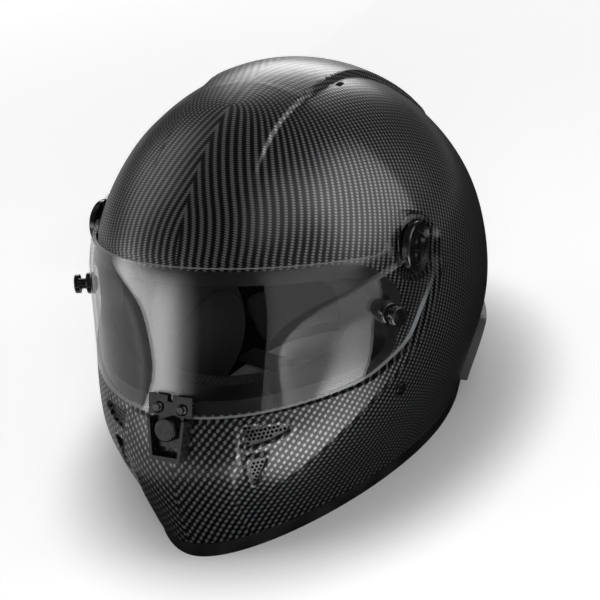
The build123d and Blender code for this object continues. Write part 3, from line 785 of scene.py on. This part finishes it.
clear = Finish("clear_sheet", Base_Color=(1, 1, 1), Metallic=1.0, Roughness=0.02)
glancing = clear.node("ShaderNodeLayerWeight", {}, {"Blend": 0.5}, output="Facing")
clear.set(Alpha=glancing**5 * 0.9 + 0.055)
# Cut edge: pale grey and more opaque away from the hinge, a painted highlight
edge_highlight = Finish("clear_sheet_edge", Base_Color=(0.36, 0.37, 0.38), Roughness=0.25)
_, edge_y, edge_z = edge_highlight.place()
edge_y = edge_y - (forward_shift + pivot_y * mm)
edge_z = edge_z - pivot_z * mm
from_hinge = (edge_y * edge_y + edge_z * edge_z).root()
edge_highlight.set(Alpha=from_hinge.ramp(arm_radius * mm, 2 * arm_radius * mm) * 0.6 + 0.1)
clear.wear_on(visor)
visor.data.materials.append(edge_highlight.material)
smooth(visor, 25)
for face in visor.data.polygons:
    centre = Vector(face.center)
    across_skin = abs(face.normal.dot((centre - core).normalized()))
    off_hinge = (centre - hinge).yz.length
    if across_skin < edge_lean and off_hinge > (pocket_radius + edge_clear_of_pocket) * mm:
        face.material_index = 1

# Rubber: the seal round the eye port, the channel over the base edge and the washers of the
# tear-off posts, all moulded, with a faint grain and a dull shine.
def dress(finish, names, angle=30):
    """Puts a finish on solids of the frame and smooths them up to an angle in degrees."""
    for name in names:
        finish.wear_on(nodes[name])
        smooth(nodes[name], angle)


rubber = Finish("black_rubber", IOR=1.33)
grain = rubber.noise(2400, 3, 0.6)
bloom = rubber.noise(40, 3).ramp(0.35, 0.7)
rubber.set(Base_Color=bloom.blend((0.006, 0.006, 0.0065), (0.015, 0.015, 0.016)))
rubber.set(Roughness=grain.ramp(0.3, 0.7, 0.42, 0.52))
rubber.bump(grain, 0.006 * mm)
dress(rubber, ("eye_port_gasket", "base_edge_trim", "tear_off_washers"), 40)

# Hinge hubs and covers, and the posts for tear-off films: black fittings moulded with a high gloss,
# then screwed together through the shell or the visor, with fine scuffs.
fittings = Finish("black_fittings", IOR=1.5, Coat_Weight=0.4, Coat_Roughness=0.05)
scuff = fittings.noise(260, 4, 0.65)
fittings.set(Base_Color=scuff.ramp(0.45, 0.75).blend((0.006, 0.006, 0.0065), (0.016, 0.016, 0.017)))
fittings.set(Roughness=scuff.ramp(0.35, 0.75, 0.12, 0.3))
fittings.bump(fittings.noise(1400, 2), 0.012 * mm)
hinge_pieces = ("pivot_hub_left", "pivot_hub_right", "pivot_cover_left", "pivot_cover_right")
dress(fittings, (*hinge_pieces, "tear_off_posts"))

# Latch under the visor, tether plugs and strap anchors: the same black, moulded with a satin skin.
# The latch's bracket is screwed to the visor, and its keeper is riveted to the chin bar.
satin = Finish("satin_fittings", IOR=1.36)
rub = satin.noise(320, 4, 0.65)
satin.set(Base_Color=rub.ramp(0.45, 0.75).blend((0.004, 0.004, 0.0045), (0.014, 0.014, 0.015)))
satin.set(Roughness=rub.ramp(0.35, 0.75, 0.16, 0.34))
satin.bump(satin.noise(1400, 2), 0.012 * mm)
dress(satin, ("latch_bracket", "latch_button", "latch_keeper", "tether_plugs", "strap_anchors"))

# Screws, rivets, tear-off nuts and the snap fastener: turned or pressed steel, blackened and then
# polished a little by tools and fingers.
black_steel = Finish("black_steel", Metallic=0.9)
rubbed = black_steel.noise(500, 4, 0.6)
black_steel.set(Base_Color=rubbed.ramp(0.4, 0.75).blend((0.035, 0.035, 0.037), (0.11, 0.11, 0.112)))
black_steel.set(Roughness=rubbed.ramp(0.3, 0.8, 0.2, 0.42))
black_steel.bump(black_steel.noise(2200, 2), 0.01 * mm)
dress(black_steel, ("pivot_screws", "tear_off_nuts", "latch_screws", "keeper_rivets"))
dress(black_steel, ("strap_rivets", "strap_snap_socket", "strap_snap_stud"))

# Strap rings, tether inserts, hinge nuts and the latch's spring: brushed and plated steel. The rings
# hang in the loop of the short webbing.
bright = Finish("bright_metal", Metallic=1.0)
brushed = bright.noise(1600, 5, 0.7)
bright.set(Base_Color=brushed.ramp(0.3, 0.7).blend((0.42, 0.42, 0.43), (0.62, 0.62, 0.63)))
bright.set(Roughness=brushed.ramp(0.3, 0.8, 0.22, 0.4))
bright.bump(brushed, 0.008 * mm)
dress(bright, ("pivot_nuts", "latch_spring", "tether_inserts", "strap_rings"), 40)

# Vent meshes: thin perforated sheet, stamped and painted dark grey, bonded behind the vents of the
# chin bar.
netting = Finish("vent_mesh", Metallic=0.85)
worn = netting.noise(700, 3, 0.6)
netting.set(Base_Color=worn.ramp(0.35, 0.7).blend((0.05, 0.05, 0.052), (0.13, 0.13, 0.133)))
netting.set(Roughness=worn.ramp(0.3, 0.8, 0.28, 0.5))
dress(netting, ("chin_vent_mesh_upper", "chin_vent_mesh_lower"))

# Rear spoiler: one moulding in grey plastic with a fine leather grain, bonded round the back of the
# shell.
grey = Finish("grey_plastic", IOR=1.45)
pebble_inputs = {"Vector": grey.where(), "Scale": 900}
pebble = grey.node("ShaderNodeTexVoronoi", {"feature": "SMOOTH_F1"}, pebble_inputs)
mottle = grey.noise(30, 3).ramp(0.3, 0.7)
grey.set(Base_Color=mottle.blend((0.06, 0.061, 0.063), (0.085, 0.086, 0.088)))
grey.set(Roughness=pebble.ramp(0.2, 0.8, 0.42, 0.6))
grey.bump(pebble, 0.04 * mm)
dress(grey, ("rear_spoiler",))

# Crushable liner: beads of black foam fused in a mould and bonded inside the shell, seen from below
# and through the eye port.
foam = Finish("crush_foam")
bead_inputs = {"Vector": foam.where(), "Scale": 330}
beads = foam.node("ShaderNodeTexVoronoi", {"feature": "DISTANCE_TO_EDGE"}, bead_inputs)
foam.set(Base_Color=beads.ramp(0.0, 0.2).blend((0.004, 0.004, 0.0045), (0.014, 0.014, 0.015)))
foam.set(Roughness=beads.ramp(0.0, 0.3, 0.95, 0.75))
foam.bump(beads.ramp(0.0, 0.25), 0.15 * mm)
dress(foam, ("impact_liner_skull", "impact_liner_chin"))

# Padding: foam covered with brushed cloth and held to the liner by studs. Each pad starts from its
# solid, a little smaller, and swells under its cover.
cloth_cell = 4.5 * mm
pad_shrink = 1.6 * mm
soften_rounds = 6
cover_mass = 0.3
cloth_frames = 20
pad_swell = 6 * mm
swell_share = 0.35


def plump(node, pressure):
    """The pad that stands for a node, blown up like a stuffed cover."""
    pad = nodes[node].copy()
    pad.data = nodes[node].data.copy()
    pad.name = node + "_cover"
    bpy.context.scene.collection.objects.link(pad)
    pad.parent = None
    pad.matrix_world = nodes[node].matrix_world
    pad.data.materials.clear()
    mesh_step = pad.modifiers.new("even", "REMESH")
    mesh_step.mode = "VOXEL"
    mesh_step.voxel_size = cloth_cell
    inward = pad.modifiers.new("smaller", "DISPLACE")
    inward.strength = -pad_shrink
    inward.mid_level = 0
    soften = pad.modifiers.new("soften", "SMOOTH")
    soften.iterations = soften_rounds
    bpy.context.view_layer.objects.active = pad
    for step in list(pad.modifiers):
        bpy.ops.object.modifier_apply(modifier=step.name)
    start = np.array([vertex.co for vertex in pad.data.vertices])
    cover = pad.modifiers.new("cover", "CLOTH")
    cover.settings.use_pressure = True
    cover.settings.uniform_pressure_force = pressure
    cover.settings.effector_weights.gravity = 0
    cover.settings.mass = cover_mass
    cover.point_cache.frame_start = 1
    cover.point_cache.frame_end = cloth_frames
    for step in range(1, cloth_frames + 1):
        bpy.context.scene.frame_set(step)
    swollen = pad.evaluated_get(bpy.context.evaluated_depsgraph_get())
    moved = np.array([vertex.co for vertex in swollen.data.vertices]) - start
    pad.modifiers.remove(cover)
    bpy.context.scene.frame_set(1)
    reach = np.linalg.norm(moved, axis=1, keepdims=True)
    moved *= np.minimum(1, pad_swell / np.maximum(reach, 1e-9)) * swell_share
    for vertex, place in zip(pad.data.vertices, start + moved):
        vertex.co = place
    finer = pad.modifiers.new("finer", "SUBSURF")
    finer.levels = 1
    bpy.ops.object.modifier_apply(modifier=finer.name)
    pad.data.shade_smooth()
    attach(pad, "helmet")
    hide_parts(node)
    return pad


cheek_centre = (-36.0, 66.0)
cheek_reach = (82.0, 56.0)
seam_share = 0.62
knit_count = 5200
knit_skew = 1500
nap_scale = 500
cloth = Finish("pad_cloth", Roughness=0.95, Sheen_Weight=0.08, Sheen_Roughness=0.5)
cloth_x, cloth_y, cloth_z = cloth.place()
knit = (cloth_y * knit_count).sine() * (cloth_z * knit_count + cloth_x * knit_skew).sine()
nap = cloth.noise(nap_scale, 4, 0.7)
seam_y = (cloth_y - (forward_shift + cheek_centre[0] * mm)) / (cheek_reach[0] * mm)
seam_z = (cloth_z - cheek_centre[1] * mm) / (cheek_reach[1] * mm)
seam = ((seam_y * seam_y + seam_z * seam_z).root() - seam_share).size().ramp(0.0, 0.03)
cloth.set(Base_Color=(nap * 0.6 + seam * 0.4).blend((0.014, 0.0145, 0.016), (0.05, 0.051, 0.055)))
cloth.bump(knit * 0.05 + nap * 0.3 + seam * 1.6, 0.5 * mm)
cheek_pads = [plump("cheek_pad_left", 4.0), plump("cheek_pad_right", 4.0)]
neck_pad = plump("neck_roll", 4.0)
cloth.wear_on(*cheek_pads, neck_pad)

# Comfort liner: a quilted cloth cap over thin foam, held to the impact liner by studs. Its sewn
# channels cross each other in long diamonds.
channel_pitch = 22 * mm
channel_lean = 0.5
channel_soft = 0.16
quilt = Finish("liner_cloth", Roughness=0.95, Sheen_Weight=0.06, Sheen_Roughness=0.5)
quilt_x, quilt_y, _ = quilt.place()
channel_a = ((quilt_x + quilt_y * channel_lean) / channel_pitch % 1 - 0.5).size()
channel_b = ((quilt_x - quilt_y * channel_lean) / channel_pitch % 1 - 0.5).size()
channels = channel_a.at_most(channel_b).ramp(0.0, channel_soft)
nap = quilt.noise(nap_scale, 4, 0.7)
quilt.set(Base_Color=(nap * 0.5 + channels * 0.5).blend((0.008, 0.008, 0.009), (0.03, 0.031, 0.034)))
quilt.bump(channels * 2.0 + nap * 0.3, 0.7 * mm)
skull_pad = plump("comfort_liner", 3.0)
quilt.wear_on(skull_pad)

# Chin strap: two lengths of polyester webbing riveted inside the shell, the short one sewn round
# the bar of the rings
strap_y = 42.0
strap_width = 20.0
strap_wall = 1.8
strap_bend = 7.0
strap_bend_steps = 9
strap_route = ((95.0, 43.0), (86.5, 13.0), (62.0, 6.6))
strap_end_z = 4.6
strap_plane = ((0, 0, 0), (1, 0, 0), (0, 0, 1))
strap_edge = 0.35 * mm
short_end = 42.0
long_end = 12.0
loop_radius = 3.4
loop_wall = 1.5
overrun = 1


def ribbon_outline(route, bend, wall):
    """Both edges of a ribbon along a route, its corners bent."""
    route = np.asarray(route, float)
    line = [route[0]]
    for before, corner, after in zip(route, route[1:], route[2:]):
        inward = (before - corner) / np.linalg.norm(before - corner)
        onward = (after - corner) / np.linalg.norm(after - corner)
        for share in np.linspace(0, 1, strap_bend_steps):
            line.append(corner + inward * bend * (1 - share) ** 2 + onward * bend * share**2)
    line = np.array(line + [route[-1]])
    along = np.gradient(line, axis=0)
    along /= np.linalg.norm(along, axis=1)[:, None]
    side = np.column_stack([-along[:, 1], along[:, 0]]) * wall / 2
    return np.vstack([line + side, (line - side)[::-1]])


def strap(name, end_x, loop, mirror):
    """Webbing of one side, drawn from the front."""
    outline = ribbon_outline([*strap_route, (end_x, strap_end_z)], strap_bend, strap_wall)
    low = strap_y - strap_width / 2
    high = strap_y + strap_width / 2
    piece = prism(name, outline, *strap_plane, -high, -low)
    if loop:
        centre = (end_x, strap_end_z)
        around = circle(loop_radius + loop_wall / 2) + centre
        within = circle(loop_radius - loop_wall / 2) + centre
        ring = prism("loop", around, *strap_plane, -high, -low)
        bore = prism("bore", within, *strap_plane, -high - overrun, overrun - low)
        combine(piece, "UNION", [ring])
        combine(piece, "DIFFERENCE", [bore])
    if mirror:
        piece.data.transform(Matrix.Scale(-1, 4, (1, 0, 0)))
        piece.data.flip_normals()
    edge = piece.modifiers.new("edge", "BEVEL")
    edge.width = strap_edge
    edge.segments = 2
    edge.angle_limit = math.radians(50)
    bpy.context.view_layer.objects.active = piece
    bpy.ops.object.modifier_apply(modifier=edge.name)
    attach(piece, "helmet")
    smooth(piece, 40)
    return piece


rib_pitch = 1.1 * mm
pick_pitch = 0.9 * mm
full_turn = 2 * math.pi
webbing = Finish("webbing", Roughness=0.75, Sheen_Weight=0.15)
web_x, web_y, web_z = webbing.place()
run = web_x.size() + web_z
rib = ((web_y / rib_pitch) * full_turn).sine()
pick = ((run / pick_pitch + (rib > 0) * 0.5) * full_turn).sine()
fibres = webbing.noise(1500, 3, 0.7)
twist = pick * 0.2 + fibres * 0.6 + 0.2
webbing.set(Base_Color=twist.blend((0.012, 0.012, 0.013), (0.05, 0.05, 0.053)))
webbing.bump(pick * 0.35 + rib * 0.3 + fibres * 0.2, 0.22 * mm)
short_strap = strap("short_webbing", short_end, True, False)
long_strap = strap("long_webbing", long_end, False, True)
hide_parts("strap_short")
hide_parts("strap_long")
webbing.wear_on(short_strap, long_strap)

# Studio: a pale floor whose white comes from its own colour and a glow that camera rays see, a white
# surround, soft lamps and dark cards that only mirrored rays see. Round the helmet's base the floor's
# glow fades out, and inside the neck opening its colour turns dark: a painted shadow. A round pool
# beside the helmet glows for mirrored rays only: painted light.
bpy.context.scene.view_settings.view_transform = "Standard"
pale = (0.82, 0.82, 0.82)
shade_grey = (0.02, 0.02, 0.02)
# Place and strength of a pool of painted light on the floor, seen only in reflections
painted_pool_x = 290 * mm
painted_pool_y = -300 * mm
painted_pool_glow = 3.3
glow_limit = 4
bpy.ops.mesh.primitive_plane_add(size=12)
floor = bpy.context.object
floor.name = "studio_floor"
floor_finish = Finish("studio_floor", Roughness=0.9, Emission_Strength=1.0)
floor_x, floor_y, _ = floor_finish.place()
# Painted shadow round and under the helmet: the glow fades out there, and inside the neck opening the
# floor's colour is dark as well
shade_x = floor_x / (125 * mm)
shade_y = (floor_y - 25 * mm) / (165 * mm)
under_helmet_shade = shade_x * shade_x + shade_y * shade_y
away = (floor_x * floor_x + floor_y * floor_y).root().ramp(0.5, 3.0, 0.5, 0.98)
glow_with_painted_light = floor_finish.ray("Is Camera Ray") * under_helmet_shade.ramp(0.9, 2.2) * away
# Painted light: a round pool beside the helmet where the floor glows for mirrored rays only
beside_x = floor_x - painted_pool_x
beside_y = floor_y - painted_pool_y
painted_pool = 1 - (beside_x * beside_x + beside_y * beside_y).root().ramp(0.10, 0.32)
glow_with_painted_light = glow_with_painted_light + floor_finish.ray("Is Glossy Ray") * painted_pool * painted_pool_glow
floor_finish.set(Emission_Color=(glow_with_painted_light / glow_limit).blend((0, 0, 0), (glow_limit,) * 3))
floor_finish.set(Base_Color=under_helmet_shade.ramp(0.2, 0.5).blend(shade_grey, pale))
floor_finish.wear_on(floor)

world = bpy.data.worlds.new("studio")
bpy.context.scene.world = world
surround = Tree(world)
toward = surround.parts_of(surround.node("ShaderNodeTexCoord", output="Generated"))
bearing = toward[0].angle(toward[1] * -1)
lifted = toward[2].maths("ARCSINE")


def softbox(bearing_from, bearing_to, low, high, soft=0.15):
    """Share of a window of the surround, its bearings and heights in degrees."""
    start, end, bottom, top = (math.radians(angle) for angle in (bearing_from, bearing_to, low, high))
    wide = bearing.ramp(start - soft, start + soft) * (1 - bearing.ramp(end - soft, end + soft))
    return wide * lifted.ramp(bottom - soft, bottom + soft) * (1 - lifted.ramp(top - soft, top + soft))


mirrored_light = (
    softbox(80, 132, 14, 56) * 2.4
    + softbox(25, 100, 44, 72) * 0.8
    + softbox(-118, -78, 14, 48) * 1.0
    + softbox(-86, -34, -20, 10, 0.2) * 3.2
    + softbox(-172, -144, 12, 30) * 8.0
    + softbox(30, 80, -10, 24) * 0.4
    + softbox(-42, -22, -20, 16, 0.2) * 1.1
    + 0.015
)
plain = surround.ray("Is Camera Ray").at_least(surround.ray("Is Transmission Ray"))
glossy = surround.ray("Is Glossy Ray")
diffuse_level = 0.3
rest = (mirrored_light - diffuse_level) * glossy + diffuse_level
strength = plain * (1 - rest) + rest
background = surround.tree.nodes["Background"]
surround.feed(background.inputs["Color"], (1, 1, 1))
surround.feed(background.inputs["Strength"], strength)


def lamp(name, place, aim, power, width, height):
    """Soft lamp that isn't mirrored."""
    data = bpy.data.lights.new(name, "AREA")
    data.shape = "RECTANGLE"
    data.size = width
    data.size_y = height
    data.energy = power
    thing = bpy.data.objects.new(name, data)
    bpy.context.scene.collection.objects.link(thing)
    thing.location = place
    thing.visible_glossy = False
    thing.rotation_euler = (Vector(aim) - Vector(place)).to_track_quat("-Z", "Y").to_euler()


lamp("front_lamp", (1.1, -1.7, 0.9), (0, 0, 0.12), 20, 1.0, 1.0)
lamp("top_lamp", (0.2, 0.2, 1.9), (0, 0, 0.1), 4, 0.9, 0.9)
lamp("side_lamp", (-1.8, -1.0, 0.8), (0, 0, 0.12), 5, 0.8, 1.2)
lamp("rear_lamp", (1.9, 0.5, 0.7), (0, 0, 0.12), 7, 0.8, 0.8)
flag_finish = Finish("studio_flag", Base_Color=(0.0, 0.0, 0.0), Roughness=1.0, Specular_IOR_Level=0.0)
flag_thickness = 2
on_floor = ((0, 0, 0.5), (1, 0, 0), (0, 1, 0))


def flag(name, corners, place, x_way, y_way):
    """Dark card that only mirror rays see."""
    card = prism(name, rounded(corners, [0] * len(corners)), place, x_way, y_way, 0, flag_thickness)
    flag_finish.wear_on(card)
    card.visible_camera = False
    card.visible_diffuse = False
    card.visible_transmission = False
    card.visible_shadow = False


before_visor = [(-205, 0), (205, 0), (205, 360), (-205, 360)]
flag("visor_flag", before_visor, (175, -733, 1), (0.972, 0.233, 0), (0, 0, 1))
before_chin = [(-120, -420), (90, -420), (90, -150), (-120, -150)]
flag("chin_flag", before_chin, *on_floor)
left_and_behind = [
    (30, -150),
    (200, -150),
    (600, -60),
    (1500, -60),
    (1500, 1500),
    (-400, 1500),
    (-400, 170),
    (30, 170),
]
flag("floor_flag", left_and_behind, *on_floor)

# Camera, as fitted to the photograph. The helmet leans forward there and stands on its base edge
# here, so the camera is tilted to match.
frame_px = 600
focal_px = 1437.68
centre_px = 297.8
sensor = 36
right = Vector((0.88290, 0.44682, -0.14439))
up = Vector((-0.08677, 0.45744, 0.88500))
back = right.cross(up)
camera_place = (0.46432, -0.77473 + forward_shift, 0.53617)
camera_data = bpy.data.cameras.new("camera")
camera = bpy.data.objects.new("camera", camera_data)
bpy.context.scene.collection.objects.link(camera)
turned = Matrix(((right.x, up.x, back.x), (right.y, up.y, back.y), (right.z, up.z, back.z)))
camera.matrix_world = Matrix.Translation(camera_place) @ turned.to_4x4()
camera_data.sensor_width = sensor
camera_data.lens = sensor * focal_px / frame_px
camera_data.shift_y = (centre_px - frame_px / 2) / frame_px
camera_data.clip_start = 0.05
bpy.context.scene.camera = camera
